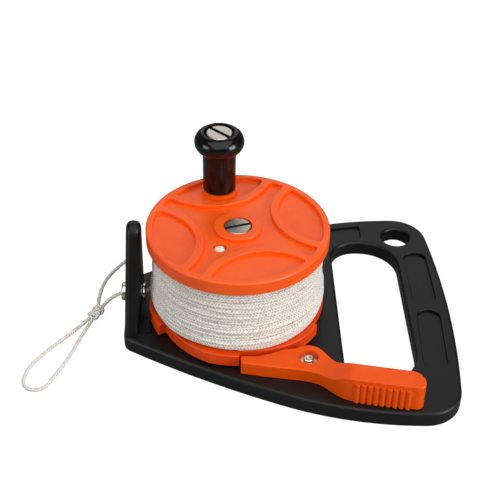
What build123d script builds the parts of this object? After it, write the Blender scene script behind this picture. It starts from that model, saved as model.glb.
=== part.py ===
from build123d import *
import math
import os

# A dive reel: a flat frame with a hand opening, a line guide at one end, and a ratchet spool of white line
# The origin is on the spool's axis, in the plane that the frame lies on
# +Z is up the axle, +X points at the hand grip and -X at the line guide

# Driving dimensions, in millimetres

# Frame plate
frame_thickness = 8.7
frame_half_width = 79.2
belly_offset = 0.4
belly_radius = 182
belly_turn = 22.35
flank_radius = 550
nose_corner_radius = 7
grip_corner_radius = 19
grip_bow_radius = 531
top_edge_radius = 1.8
under_edge_radius = 1.2

# Hand opening, lanyard hole and the shallow panels of the frame's top
hand_clearance = 7.5
hand_width = 36.8
arm_width = 22.9
hand_inner_radius = 14.5
hand_outer_radius = 20.5
lanyard_offset = 20.4
lanyard_inset = 17.1
lanyard_radius = 7.8
panel_depth = 1.3
panel_corner_radius = 5.8
panel_edge_radius = 0.5
panel_gap = 5.2
far_panel_offset = 29
far_panel_width = 12.6
far_panel_length = 44.4
far_panel_tilt = 0.6
near_panel_offset = 28.5
near_panel_width = 12.3
near_panel_length = 44.9
near_panel_tilt = -2.7
arm_panel_margin = 5.5
arm_panel_width = 14.5
arm_panel_land = 3.6
arm_panel_length = 58.4
arm_panel_corner_radius = 2.2
mark_inset = 12.4
mark_offset = -19.7
mark_radius = 1.7
mark_height = 0.5

# Line guide, a fin at the frame's left end that leans in towards the spool
guide_thickness = 7.5
guide_half_width = 24.4
guide_height = 55.4
guide_tip_radius = 6
guide_foot_radius = 3.4
guide_lean_angle = 2.1
guide_edge_radius = 3.2
guide_root_depth = 5.6
guide_clearance = 4.25
guide_set_back = 0.55

# Eyelet in the guide
eyelet_height = 10.4
eyelet_radius = 3.2
eyelet_bore_radius = 2.1
eyelet_flange_radius = 4.8
eyelet_flange_thickness = 2
eyelet_neck_radius = 3.9
eyelet_neck_length = 0.3
eyelet_outer_neck_length = 0.8
eyelet_lip_radius = 0.8

# Spool
spool_radius = 46.5
spool_floor = 10
ratchet_height = 6.5
line_space = 38.3
flange_thickness = 7.65
drum_radius = 18.6
drum_spigot_radius = 14
drum_spigot_height = 2.4
flange_edge_radius = 0.9

# Ratchet teeth
tooth_count = 6
tooth_bearing = 270.9
tooth_overhang = 0.5
tooth_depth = 4.2
tooth_ramp_turn = 42
tooth_corner_radius = 0.55
tooth_edge_radius = 0.5

# Pattern in the upper flange's top
rim_land = 3.4
lens_count = 4
lens_bearing = 15.6
lens_offset = 5.3
lens_radius = 28.8
lens_land = 4.2
lens_depth = 2
lens_corner_radius = 1.8
lens_edge_radius = 0.4
hub_ring_radius = 12
hub_well_radius = 7.3
hub_well_depth = 3.9
anchor_offset = -0.2
anchor_bearing = -119.2
anchor_radius = 3.3
anchor_sink = 0.5

# Axle
axle_radius = 4
axle_thread_radius = 3
axle_head_radius = 6.8
axle_head_height = 2.6
axle_washer_thickness = 0.8
thrust_washer_radius = 11
thrust_washer_thickness = 1
nut_width = 10
nut_height = 5
nut_floor_height = 2
axle_slot_width = 1.8
screw_slot_depth = 1.9
axle_slot_bearing = 18
head_dome_share = 0.3

# Winding handle knob
knob_inset = 12.45
knob_bearing = 106.2
knob_boss_radius = 9.4
knob_boss_rise = 0.75
knob_base_radius = 8.6
knob_waist_radius = 8.6
knob_waist_share = 0.7
knob_neck_height = 22.7
knob_head_radius = 12.9
knob_head_height = 11.2
knob_base_edge_radius = 0.9
knob_well_radius = 7.9
knob_well_depth = 3.2
knob_screw_radius = 2
knob_screw_head_radius = 6.8
knob_screw_head_height = 2.6
knob_insert_radius = 3.2
knob_insert_length = 7
knob_slot_bearing = -43
knob_slot_width = 2.1

# Lock lever
lever_pivot_clearance = 11.82
lever_pivot_bearing = -53.363
lever_boss_radius = 8.7
lever_thickness = 7.4
lever_lift_height = 0.3
lever_tab_rise = 7.1
lever_tab_bearing = -10.8
lever_tab_start_distance = 24.6
lever_tab_end_distance = 58
lever_tab_width = 11.5
lever_tab_offset = 7.6
lever_tab_inner_radius = 7.5
lever_tab_outer_radius = 3.8
lever_ramp_start_distance = 8
lever_ramp_end_distance = 24
lever_throat_radius = 13.4
lever_belly_radius = 11.2
lever_nose_x = 1.4
lever_nose_width = 5
lever_nose_corner_radius = 0.5
lever_bite_depth = 0.8
lever_rim_gap = 0.2
lever_hook_turn = 9.5
lever_rim_turn = 27
lever_edge_radius = 0.7
lever_well_radius = 4.95
lever_well_depth = 3
lever_pocket_radius = 6.4
lever_pocket_depth = 3.4
rib_count = 9
rib_pitch = 3.08
rib_radius = 1.3
rib_inset = 0.2
rib_first_distance = 25.9
rib_top_margin = 2.8

# Lever pivot
post_radius = 3.5
post_rise = 0.1
lever_washer_radius = 4.6
lever_washer_thickness = 0.6
lever_screw_radius = 1.5
lever_screw_head_radius = 2.6
lever_screw_head_height = 1.7
lever_screw_length = 11
cross_width = 0.8
cross_length = 3.2
cross_depth = 0.9
cross_turn = 20
spring_wire_diameter = 0.7
spring_mean_radius = 4.75
spring_turns = 2
spring_pitch = 1.2
spring_leg_length = 1.8

# Line
line_diameter = 1.8
line_gap = 0.3
wound_margin = 2.3
wound_sag = 2.6
wound_tuck = 1.6
wound_tuck_power = 20
wound_turns = 16
wound_end_gap = 0.1
core_steps = 8
knot_x = -75.6
knot_y = 1.6
knot_lift_height = 0.1
knot_bearing = 55
knot_wrap_radius = 2.1
knot_pitch = 2.25
knot_wraps = 3

# Fits
running_fit = 0.05
seat_fit = 0.05
seat_gap = 0.3
overrun = 1

# Places that follow from the sizes above

quarter_turn = 90
frame_top = frame_thickness
frame_end = spool_radius + guide_clearance + guide_thickness + guide_set_back
hand_x = spool_radius + hand_clearance + hand_width / 2
hand_length = 2 * (frame_half_width - arm_width)
belly_x = hand_x + hand_width / 2 + belly_offset
lanyard_x = hand_x + lanyard_offset
lanyard_y = frame_half_width - lanyard_inset
tooth_radius = spool_radius + tooth_overhang
wound_full_radius = spool_radius - wound_margin
grip_turn = math.degrees(
    math.asin((frame_half_width - grip_corner_radius) / (grip_bow_radius - grip_corner_radius))
)
belly_reach = (belly_radius - flank_radius) * math.sin(math.radians(belly_turn))
flank_reach = belly_x + frame_end - nose_corner_radius - belly_reach
flank_turn = math.degrees(math.asin(flank_reach / (flank_radius - nose_corner_radius))) - belly_turn
ratchet_top = spool_floor + ratchet_height
flange_under = ratchet_top + line_space
flange_top = flange_under + flange_thickness
flange_floor = flange_top - lens_depth
well_floor = flange_top - hub_well_depth
line_radius = line_diameter / 2
lever_under = frame_top + lever_lift_height
lever_top = lever_under + lever_thickness
lever_well_floor = lever_top - lever_well_depth
knob_under = flange_top + knob_boss_rise + seat_gap
knob_well_floor = knob_under + knob_neck_height + knob_head_height - knob_well_depth
post_top = lever_well_floor + post_rise


def polar(radius, bearing, centre=(0, 0)):
    """The plan point at a radius and bearing round a centre."""
    turn = math.radians(bearing)
    return (centre[0] + radius * math.cos(turn), centre[1] + radius * math.sin(turn))


pivot = polar(tooth_radius + lever_pivot_clearance, lever_pivot_bearing)
knob_place = polar(spool_radius - knob_inset, knob_bearing)
anchor_place = polar(drum_radius + anchor_offset, anchor_bearing)


def biarc_path(points, tangents, leg):
    """One smooth wire of two arcs between each pair of points, with a straight leg at each end."""
    with BuildLine() as path:
        for index in range(len(points) - 1):
            start, end = points[index], points[index + 1]
            leave, arrive = tangents[index], tangents[index + 1]
            span = end - start
            both = leave + arrive
            bend = 2 * (1 - leave.dot(arrive))
            along = span.dot(both)
            reach = (math.sqrt(along * along + bend * span.dot(span)) - along) / bend
            joint = (start + end + (leave - arrive) * reach) / 2
            turn = (joint - start - leave * reach).normalized()
            TangentArc(start, joint, tangent=leave)
            TangentArc(joint, end, tangent=turn)
        Line(points[0] - tangents[0] * leg, points[0])
        Line(points[-1], points[-1] + tangents[-1] * leg)
    return path.wire()


def helix_points(radii, heights, turns, start_bearing=0):
    """Points and unit tangents at each quarter turn of a coil about Z.

    radii and heights are functions of the share of the coil, from 0 to 1.
    """
    steps = int(round(4 * turns))
    nudge = 1 / (100 * steps)
    points, tangents = [], []

    def place(share):
        turn = math.radians(start_bearing) + share * turns * math.tau
        return Vector(radii(share) * math.cos(turn), radii(share) * math.sin(turn), heights(share))

    for step in range(steps + 1):
        share = step / steps
        points.append(place(share))
        tangents.append((place(share + nudge) - place(share - nudge)).normalized())
    return points, tangents


def cord_path(route):
    """Straight runs joined by tangent arcs, each as large as its two runs allow."""
    radii = []
    places = [Vector(*place) for place in route]
    for before, corner, after in zip(places, places[1:], places[2:]):
        first, second = corner - before, after - corner
        half_turn = math.radians(first.get_angle(second)) / 2
        radii.append(0.45 * min(first.length, second.length) / math.tan(half_turn))
    print("cord radii", [round(radius, 1) for radius in radii])
    with BuildLine() as path:
        FilletPolyline(*route, radius=radii)
    return path.wire()


def tube(path, radius):
    """A round tube along a wire."""
    with BuildPart() as piece:
        with BuildSketch(Plane(origin=path @ 0, z_dir=path % 0)):
            Circle(radius)
        sweep(path=path)
    return piece.part


# Frame: plate, line guide and lever post in one moulding

with BuildLine() as outline_half:
    belly = JernArc(
        start=(belly_x, -frame_half_width), tangent=(-1, 0), radius=belly_radius, arc_size=-belly_turn
    )
    flank = JernArc(start=belly @ 1, tangent=belly % 1, radius=flank_radius, arc_size=-flank_turn)
    nose_corner = JernArc(
        start=flank @ 1,
        tangent=flank % 1,
        radius=nose_corner_radius,
        arc_size=belly_turn + flank_turn - quarter_turn,
    )
    Line(nose_corner @ 1, ((nose_corner @ 1).X, 0))
    grip_corner = JernArc(
        start=(belly_x, -frame_half_width),
        tangent=(1, 0),
        radius=grip_corner_radius,
        arc_size=quarter_turn - grip_turn,
    )
    JernArc(start=grip_corner @ 1, tangent=grip_corner % 1, radius=grip_bow_radius, arc_size=grip_turn)
    mirror(about=Plane.XZ)
guide_plane = Plane(
    origin=(guide_set_back + guide_thickness / 2 - frame_end, 0, frame_top),
    x_dir=(0, 1, 0),
    z_dir=(math.cos(math.radians(guide_lean_angle)), 0, -math.sin(math.radians(guide_lean_angle))),
)

with BuildPart() as frame:
    with BuildSketch() as outline:
        add(outline_half.line)
        make_face()
    extrude(amount=frame_thickness)
    with BuildSketch(Plane.XY.offset(-overrun)) as opening:
        with Locations((hand_x, 0)):
            Rectangle(hand_width, hand_length)
        fillet(opening.vertices().group_by(Axis.X)[0], hand_inner_radius)
        fillet(opening.vertices().group_by(Axis.X)[-1], hand_outer_radius)
        with Locations((lanyard_x, lanyard_y)):
            Circle(lanyard_radius)
    extrude(amount=frame_thickness + 2 * overrun, mode=Mode.SUBTRACT)
    fillet(frame.faces().sort_by(Axis.Z)[-1].edges(), top_edge_radius)
    fillet(frame.faces().sort_by(Axis.Z)[0].edges(), under_edge_radius)

    # Shallow panels with rounded corners: two on the grip, one along the far arm
    with BuildSketch(Plane.XY.offset(frame_top)) as grip_panels:
        with Locations((hand_x + far_panel_offset, (panel_gap + far_panel_length) / 2)):
            RectangleRounded(
                far_panel_width, far_panel_length, panel_corner_radius, rotation=far_panel_tilt
            )
        with Locations((hand_x + near_panel_offset, -(panel_gap + near_panel_length) / 2)):
            RectangleRounded(
                near_panel_width, near_panel_length, panel_corner_radius, rotation=near_panel_tilt
            )
    extrude(amount=-panel_depth, mode=Mode.SUBTRACT)
    with BuildSketch(Plane.XY.offset(frame_top)) as arm_panel:
        offset(outline.sketch_local, amount=-arm_panel_margin)
        offset(outline.sketch_local, amount=-arm_panel_margin - arm_panel_width, mode=Mode.SUBTRACT)
        with Locations((hand_x - arm_panel_length / 2, frame_half_width / 2)):
            Rectangle(arm_panel_length, frame_half_width, mode=Mode.INTERSECT)
        with Locations((hand_x, 0)):
            RectangleRounded(
                hand_width + 2 * arm_panel_land,
                hand_length + 2 * arm_panel_land,
                hand_inner_radius + arm_panel_land,
                mode=Mode.SUBTRACT,
            )
        offset(amount=-arm_panel_corner_radius)
        offset(amount=arm_panel_corner_radius)
    extrude(amount=-panel_depth, mode=Mode.SUBTRACT)

    flat_edges = frame.edges().filter_by_position(Axis.Z, frame_top, frame_top)
    panel_faces = frame.faces().filter_by(Axis.Z).filter_by_position(
        Axis.Z, frame_top - panel_depth, frame_top - panel_depth
    )
    panel_edges = []
    for panel_face in panel_faces:
        reach = panel_face.bounding_box()
        for edge in flat_edges:
            middle = edge.center()
            beside_x = reach.min.X - seat_fit < middle.X < reach.max.X + seat_fit
            beside_y = reach.min.Y - seat_fit < middle.Y < reach.max.Y + seat_fit
            if beside_x and beside_y:
                panel_edges.append(edge)
    fillet(panel_edges, panel_edge_radius)

    # The line guide's fin, with a fully rounded edge
    with BuildPart(mode=Mode.PRIVATE) as fin:
        with BuildSketch(guide_plane.offset(-guide_thickness / 2)):
            with Locations((0, guide_height - guide_tip_radius)):
                Circle(guide_tip_radius)
            foot_y = guide_half_width - guide_foot_radius
            foot_z = guide_foot_radius - guide_root_depth
            with Locations((-foot_y, foot_z), (foot_y, foot_z)):
                Circle(guide_foot_radius)
            make_hull()
        extrude(amount=guide_thickness)
        fillet(fin.faces().sort_by(Axis.X)[0].edges(), guide_edge_radius)
        fillet(fin.faces().sort_by(Axis.X)[-1].edges(), guide_edge_radius)
    add(fin.part)
    with BuildSketch(guide_plane.offset(-guide_thickness)):
        with Locations((0, eyelet_height)):
            Circle(eyelet_radius + seat_fit)
    extrude(amount=2 * guide_thickness, mode=Mode.SUBTRACT)

    # Lever post, moulding mark, and the holes for the two screws and the axle nut
    with BuildSketch(Plane.XY.offset(frame_top - overrun)):
        with Locations(pivot):
            Circle(post_radius)
    extrude(amount=post_top - frame_top + overrun)
    with BuildSketch(Plane.XY.offset(frame_top - overrun)):
        with Locations((mark_inset - frame_end, mark_offset)):
            Circle(mark_radius)
    extrude(amount=mark_height + overrun)
    with BuildSketch(Plane.XY.offset(post_top)):
        with Locations(pivot):
            Circle(lever_screw_radius + seat_fit)
    extrude(amount=-lever_screw_length - seat_gap, mode=Mode.SUBTRACT)
    with BuildSketch(Plane.XY.offset(nut_floor_height)):
        RegularPolygon(nut_width / 2 + seat_fit, 6, major_radius=False)
    extrude(amount=nut_height, mode=Mode.SUBTRACT)
    with BuildSketch(Plane.XY.offset(nut_floor_height)):
        Circle(axle_thread_radius + seat_fit)
    extrude(amount=frame_thickness, mode=Mode.SUBTRACT)
frame.part.label = "frame"


# Eyelet: a flanged barrel through the guide and a rolled ring on its inner end

with BuildPart() as guide_eyelet:
    barrel_end = guide_thickness / 2 + eyelet_neck_length + eyelet_flange_thickness
    outer_neck = guide_thickness / 2 + eyelet_outer_neck_length
    outer_face = outer_neck + eyelet_flange_thickness
    with BuildSketch(guide_plane.offset(-outer_face)):
        with Locations((0, eyelet_height)):
            Circle(eyelet_radius)
            Circle(eyelet_bore_radius, mode=Mode.SUBTRACT)
    extrude(amount=outer_face + barrel_end)
    with BuildSketch(guide_plane.offset(-outer_face)):
        with Locations((0, eyelet_height)):
            Circle(eyelet_flange_radius)
            Circle(eyelet_bore_radius, mode=Mode.SUBTRACT)
    extrude(amount=eyelet_flange_thickness)
    fillet(
        guide_eyelet.edges().filter_by(GeomType.CIRCLE).sort_by(Axis.X)[:2], eyelet_lip_radius
    )
    with BuildSketch(guide_plane.offset(-outer_neck)):
        with Locations((0, eyelet_height)):
            Circle(eyelet_neck_radius)
            Circle(eyelet_bore_radius, mode=Mode.SUBTRACT)
    extrude(amount=eyelet_outer_neck_length)
guide_eyelet.part.label = "guide_eyelet"

with BuildPart() as guide_eyelet_ring:
    with BuildSketch(guide_plane.offset(guide_thickness / 2)):
        with Locations((0, eyelet_height)):
            Circle(eyelet_neck_radius)
            Circle(eyelet_radius + seat_fit, mode=Mode.SUBTRACT)
    extrude(amount=eyelet_neck_length)
    with BuildSketch(guide_plane.offset(guide_thickness / 2 + eyelet_neck_length)):
        with Locations((0, eyelet_height)):
            Circle(eyelet_flange_radius)
            Circle(eyelet_radius + seat_fit, mode=Mode.SUBTRACT)
    extrude(amount=eyelet_flange_thickness)
    ring_edges = guide_eyelet_ring.edges().filter_by(GeomType.CIRCLE)
    fillet(ring_edges.group_by(SortBy.RADIUS)[-1], eyelet_lip_radius)
guide_eyelet_ring.part.label = "guide_eyelet_ring"


# Spool: drum with the ratchet below, and the patterned upper flange

with BuildSketch() as notch:
    floor_radius = tooth_radius - tooth_depth
    lead_out = tooth_ramp_turn * (1 + overrun / tooth_depth)
    with BuildLine():
        step = Line(polar(tooth_radius + overrun, 0), polar(floor_radius, 0))
        ramp = ThreePointArc(
            step @ 1,
            polar(floor_radius + tooth_depth / 2, tooth_ramp_turn / 2),
            polar(tooth_radius + overrun, lead_out),
        )
        ThreePointArc(ramp @ 1, polar(tooth_radius + 2 * overrun, lead_out / 2), step @ 0)
    make_face()

with BuildPart() as spool_drum:
    with BuildSketch(Plane.XY.offset(spool_floor)) as ratchet:
        Circle(tooth_radius)
        with PolarLocations(0, tooth_count, start_angle=tooth_bearing):
            add(notch.sketch_local, mode=Mode.SUBTRACT)
        fillet(ratchet.vertices(), tooth_corner_radius)
    extrude(amount=ratchet_height)
    fillet(spool_drum.faces().sort_by(Axis.Z)[-1].edges(), tooth_edge_radius)
    with BuildSketch(Plane.XY.offset(ratchet_top)):
        Circle(drum_radius)
    extrude(amount=line_space)
    with BuildSketch(Plane.XY.offset(flange_under)):
        Circle(drum_spigot_radius)
    extrude(amount=drum_spigot_height)
    with BuildSketch(Plane.XY.offset(spool_floor)):
        Circle(axle_radius + running_fit)
    extrude(amount=ratchet_height + line_space + drum_spigot_height, mode=Mode.SUBTRACT)
spool_drum.part.label = "spool_drum"

with BuildPart() as spool_flange:
    with BuildSketch(Plane.XY.offset(flange_under)):
        Circle(spool_radius)
    extrude(amount=flange_thickness)
    fillet(spool_flange.edges(), flange_edge_radius)

    # Lens pockets between the rim and the four bowed lands, and the star between the lands
    with BuildSketch(Plane.XY.offset(flange_top)) as lenses:
        with PolarLocations(spool_radius + lens_offset, lens_count, start_angle=lens_bearing):
            Circle(lens_radius)
        Circle(spool_radius - rim_land, mode=Mode.INTERSECT)
        fillet(lenses.vertices(), lens_corner_radius)
    extrude(amount=-lens_depth, mode=Mode.SUBTRACT)
    with BuildSketch(Plane.XY.offset(flange_top)) as star:
        Circle(spool_radius - rim_land)
        with PolarLocations(spool_radius + lens_offset, lens_count, start_angle=lens_bearing):
            Circle(lens_radius + lens_land, mode=Mode.SUBTRACT)
        fillet(star.vertices(), lens_corner_radius)
        Circle(hub_ring_radius, mode=Mode.SUBTRACT)
    extrude(amount=-lens_depth, mode=Mode.SUBTRACT)
    top_edges = spool_flange.edges().filter_by_position(Axis.Z, flange_top, flange_top)
    rim_edge = top_edges.sort_by(SortBy.RADIUS)[-1]
    fillet([edge for edge in top_edges if edge is not rim_edge], lens_edge_radius)

    # Knob boss in the far lens, then the bores
    with BuildSketch(Plane.XY.offset(flange_floor - overrun)):
        with Locations(knob_place):
            Circle(knob_boss_radius)
    extrude(amount=lens_depth + knob_boss_rise + overrun)
    with BuildSketch(Plane.XY.offset(well_floor)):
        Circle(hub_well_radius)
    extrude(amount=hub_well_depth + overrun, mode=Mode.SUBTRACT)
    with BuildSketch(Plane.XY.offset(flange_under)):
        Circle(axle_radius + running_fit)
    extrude(amount=flange_thickness, mode=Mode.SUBTRACT)
    with BuildSketch(Plane.XY.offset(flange_under)):
        Circle(drum_spigot_radius + seat_fit)
    extrude(amount=drum_spigot_height, mode=Mode.SUBTRACT)
    with BuildSketch(Plane.XY.offset(flange_under - overrun)):
        with Locations(anchor_place):
            Circle(anchor_radius)
    extrude(amount=flange_thickness + 2 * overrun, mode=Mode.SUBTRACT)
    with BuildSketch(Plane.XY.offset(flange_top + knob_boss_rise)):
        with Locations(knob_place):
            Circle(knob_insert_radius + seat_fit)
    extrude(amount=-knob_insert_length, mode=Mode.SUBTRACT)
spool_flange.part.label = "spool_flange"

# The line's inner end, melted to a bead in its hole in the flange
with BuildPart() as line_anchor:
    with BuildSketch(Plane.XY.offset(flange_under)):
        with Locations(anchor_place):
            Circle(anchor_radius - seat_fit)
    extrude(amount=flange_thickness - lens_depth - anchor_sink)
    fillet(line_anchor.edges().sort_by(Axis.Z)[-1], anchor_radius / 2)
line_anchor.part.label = "line_anchor"


# Wound line: a plain core of the inner layers, and the outer layer's turns

wound_start_z = ratchet_top + line_radius + wound_end_gap
wound_end_z = flange_under - line_radius - wound_end_gap


def wound_radius(share):
    """Centre radius of the outer layer: fullest low down, slimmer at the flange, tucked in at its foot."""
    sag = wound_sag * share**2 * (3 - 2 * share)
    return wound_full_radius - sag - wound_tuck * (1 - share) ** wound_tuck_power


def wound_height(share):
    """Height of the outer layer's centre."""
    return wound_start_z + (wound_end_z - wound_start_z) * share


with BuildPart() as line_core:
    with BuildSketch(Plane.XZ):
        with BuildLine():
            shrink = line_radius + line_gap
            inner = drum_radius + seat_fit
            low = ratchet_top + seat_fit
            high = flange_under - seat_fit
            shares = [step / core_steps for step in range(core_steps + 1)]
            swell = Spline(*[(wound_radius(share) - shrink, wound_height(share)) for share in shares])
            Polyline(
                swell @ 1,
                ((swell @ 1).X, high),
                (inner, high),
                (inner, low),
                ((swell @ 0).X, low),
                swell @ 0,
            )
        make_face()
    revolve()
line_core.part.label = "line_core"

turn_points, turn_tangents = helix_points(wound_radius, wound_height, wound_turns)
line_turns = tube(biarc_path(turn_points, turn_tangents, line_diameter), line_radius)
line_turns.label = "line_turns"
turn_rise = (wound_end_z - wound_start_z) / wound_turns
turn_gaps = []
for share in [index / 200 for index in range(200 - 200 // wound_turns)]:
    above = share + 1 / wound_turns
    turn_gaps.append(math.hypot(wound_radius(above) - wound_radius(share), turn_rise) - line_diameter)
print("least gap between turns", round(min(turn_gaps), 3))


# Axle: slotted shoulder screw, its washers, and the nut moulded into the frame

head_under = well_floor + seat_gap + axle_washer_thickness


def slotted_screw(
    head_under_z, head_radius, head_height, shank_radius, foot_z, slot_width, slot_bearing, centre=(0, 0)
):
    """A low domed screw head with a driver slot, on a plain shank."""
    with BuildPart() as screw:
        with BuildSketch(Plane.XY.offset(head_under_z)):
            with Locations(centre):
                Circle(head_radius)
        extrude(amount=head_height)
        fillet(screw.faces().sort_by(Axis.Z)[-1].edges(), head_dome_share * head_height)
        with BuildSketch(Plane.XY.offset(foot_z)):
            with Locations(centre):
                Circle(shank_radius)
        extrude(amount=head_under_z - foot_z)
        with BuildSketch(Plane.XY.offset(head_under_z + head_height)):
            with Locations(Location((centre[0], centre[1], 0), (0, 0, slot_bearing))):
                Rectangle(2 * head_radius + overrun, slot_width)
        extrude(amount=-screw_slot_depth, mode=Mode.SUBTRACT)
    return screw.part


with BuildPart() as axle_screw:
    add(
        slotted_screw(
            head_under,
            axle_head_radius,
            axle_head_height,
            axle_radius,
            frame_top,
            axle_slot_width,
            axle_slot_bearing,
        )
    )
    with BuildSketch(Plane.XY.offset(nut_floor_height)):
        Circle(axle_thread_radius)
    extrude(amount=frame_top - nut_floor_height)
axle_screw.part.label = "axle_screw"

with BuildPart() as axle_washer:
    with BuildSketch(Plane.XY.offset(well_floor + seat_gap)):
        Circle(axle_head_radius)
        Circle(axle_radius + seat_fit, mode=Mode.SUBTRACT)
    extrude(amount=axle_washer_thickness)
axle_washer.part.label = "axle_washer"

with BuildPart() as thrust_washer:
    with BuildSketch(Plane.XY.offset(frame_top)):
        Circle(thrust_washer_radius)
        Circle(axle_radius + seat_fit, mode=Mode.SUBTRACT)
    extrude(amount=thrust_washer_thickness)
thrust_washer.part.label = "thrust_washer"

with BuildPart() as axle_nut:
    with BuildSketch(Plane.XY.offset(nut_floor_height)):
        RegularPolygon(nut_width / 2, 6, major_radius=False)
        Circle(axle_thread_radius + seat_fit, mode=Mode.SUBTRACT)
    extrude(amount=nut_height)
axle_nut.part.label = "axle_nut"


# Knob, its slotted screw and the brass insert that holds the screw

with BuildPart() as knob:
    with BuildSketch(Plane.XZ) as half_profile:
        with BuildLine():
            neck_z = knob_neck_height
            crown_z = knob_neck_height + knob_head_height
            foot = Line((knob_screw_radius + running_fit, 0), (knob_base_radius - knob_base_edge_radius, 0))
            toe = RadiusArc(foot @ 1, (knob_base_radius, knob_base_edge_radius), -knob_base_edge_radius)
            waist = ThreePointArc(
                toe @ 1,
                (knob_waist_radius, knob_waist_share * neck_z),
                (knob_waist_radius + running_fit, neck_z),
            )
            bulb = ThreePointArc(
                waist @ 1, (knob_head_radius, (neck_z + crown_z) / 2), (knob_well_radius, crown_z)
            )
            Polyline(
                bulb @ 1,
                (knob_well_radius, crown_z - knob_well_depth),
                (knob_screw_radius + running_fit, crown_z - knob_well_depth),
                foot @ 0,
            )
        make_face()
    revolve()
knob_part = Pos(*knob_place, knob_under) * knob.part
knob_part.label = "knob"

knob_screw = slotted_screw(
    knob_well_floor + seat_gap,
    knob_screw_head_radius,
    knob_screw_head_height,
    knob_screw_radius,
    flange_top + knob_boss_rise - knob_insert_length,
    knob_slot_width,
    knob_slot_bearing,
    knob_place,
)
knob_screw.label = "knob_screw"

with BuildPart() as knob_insert:
    with BuildSketch(Plane.XY.offset(flange_top + knob_boss_rise)):
        with Locations(knob_place):
            Circle(knob_insert_radius)
            Circle(knob_screw_radius + seat_fit, mode=Mode.SUBTRACT)
    extrude(amount=-knob_insert_length)
knob_insert.part.label = "knob_insert"


# Lock lever: hooked nose, pivot boss and raised thumb tab

tab_lean = math.radians(lever_tab_bearing)
tab_along = (math.cos(tab_lean), math.sin(tab_lean))
hook_bearing = tooth_bearing + lever_hook_turn
rim_bearing = tooth_bearing + lever_rim_turn


def tab_place(along, across):
    """The plan point at a distance along the thumb tab's axis and across it, from the pivot."""
    return (
        pivot[0] + along * tab_along[0] - across * tab_along[1],
        pivot[1] + along * tab_along[1] + across * tab_along[0],
    )


with BuildPart() as lock_lever:
    with BuildSketch(Plane.XY.offset(lever_under)) as lever_outline:
        with BuildLine():
            hook_y = -math.sqrt((tooth_radius - lever_bite_depth) ** 2 - lever_nose_x**2)
            rim_radius = tooth_radius + lever_rim_gap
            nose_end = Line((lever_nose_x, hook_y - lever_nose_width), (lever_nose_x, hook_y))
            hook = Line(nose_end @ 1, polar(rim_radius, hook_bearing))
            rim = ThreePointArc(
                hook @ 1,
                polar(rim_radius, (hook_bearing + rim_bearing) / 2),
                polar(rim_radius, rim_bearing),
            )
            boss = ThreePointArc(
                polar(lever_boss_radius, 125, pivot),
                polar(lever_boss_radius, 85, pivot),
                polar(lever_boss_radius, 45, pivot),
            )
            Spline(rim @ 1, boss @ 0, tangents=(rim % 1, boss % 0))
            far_edge = Line(
                tab_place(lever_tab_start_distance, -lever_tab_offset),
                tab_place(lever_tab_end_distance, -lever_tab_offset),
            )
            Spline(boss @ 1, far_edge @ 0, tangents=(boss % 1, far_edge % 0))
            near_edge = Line(
                tab_place(lever_tab_end_distance, -lever_tab_offset - lever_tab_width),
                tab_place(lever_tab_start_distance, -lever_tab_offset - lever_tab_width),
            )
            Line(far_edge @ 1, near_edge @ 0)
            Spline(
                near_edge @ 1,
                polar(lever_throat_radius, -67.5, pivot),
                polar(lever_belly_radius, -128.5, pivot),
                nose_end @ 0,
                tangents=(near_edge % 1, (-1, lever_nose_width / lever_belly_radius / 2)),
            )
        make_face()
        tab_corners = lever_outline.vertices().sort_by(Axis.X)[-2:].sort_by(Axis.Y)
        fillet(tab_corners[-1], lever_tab_inner_radius)
        fillet(lever_outline.vertices().sort_by(Axis.Y)[0], lever_tab_outer_radius)
        fillet(lever_outline.vertices().group_by(Axis.X)[0], lever_nose_corner_radius)
    extrude(amount=lever_thickness + lever_tab_rise)

    # Side view: the low arm, the ramp and the tab's flat top, with softened upper edges
    tab_plane = Plane(
        origin=(*pivot, lever_top),
        x_dir=(*tab_along, 0),
        z_dir=(tab_along[1], -tab_along[0], 0),
    )
    with BuildSketch(tab_plane):
        with BuildLine():
            ramp = Spline(
                (lever_ramp_start_distance, 0),
                (lever_ramp_end_distance, lever_tab_rise),
                tangents=((1, 0), (1, 0)),
            )
            Polyline(
                ramp @ 1,
                (lever_ramp_end_distance, lever_tab_rise + overrun),
                (-lever_tab_end_distance, lever_tab_rise + overrun),
                (-lever_tab_end_distance, 0),
                ramp @ 0,
            )
        make_face()
    extrude(amount=lever_tab_end_distance, both=True, mode=Mode.SUBTRACT)
    top_faces = [face for face in lock_lever.faces() if face.normal_at().Z > 1 / 4]
    top_edges = [edge for face in top_faces for edge in face.edges()]
    fillet(
        [edge for edge in top_edges if sum(edge.is_same(other) for other in top_edges) == 1],
        lever_edge_radius,
    )

    # Thumb ribs on the tab's near side
    for index in range(rib_count):
        rib_along = rib_first_distance + index * rib_pitch
        with BuildSketch(Plane.XY.offset(lever_under)):
            with Locations(tab_place(rib_along, rib_inset - lever_tab_offset - lever_tab_width)):
                Circle(rib_radius)
        extrude(amount=lever_thickness + lever_tab_rise - rib_top_margin)

    # Pivot bore, screw well above it and spring pocket below it
    with BuildSketch(Plane.XY.offset(lever_under)):
        with Locations(pivot):
            Circle(post_radius + running_fit)
    extrude(amount=lever_thickness + overrun, mode=Mode.SUBTRACT)
    with BuildSketch(Plane.XY.offset(lever_well_floor)):
        with Locations(pivot):
            Circle(lever_well_radius)
    extrude(amount=lever_well_depth + overrun, mode=Mode.SUBTRACT)
    with BuildSketch(Plane.XY.offset(lever_under)):
        with Locations(pivot):
            Circle(lever_pocket_radius)
    extrude(amount=lever_pocket_depth, mode=Mode.SUBTRACT)
lock_lever.part.label = "lock_lever"

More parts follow.
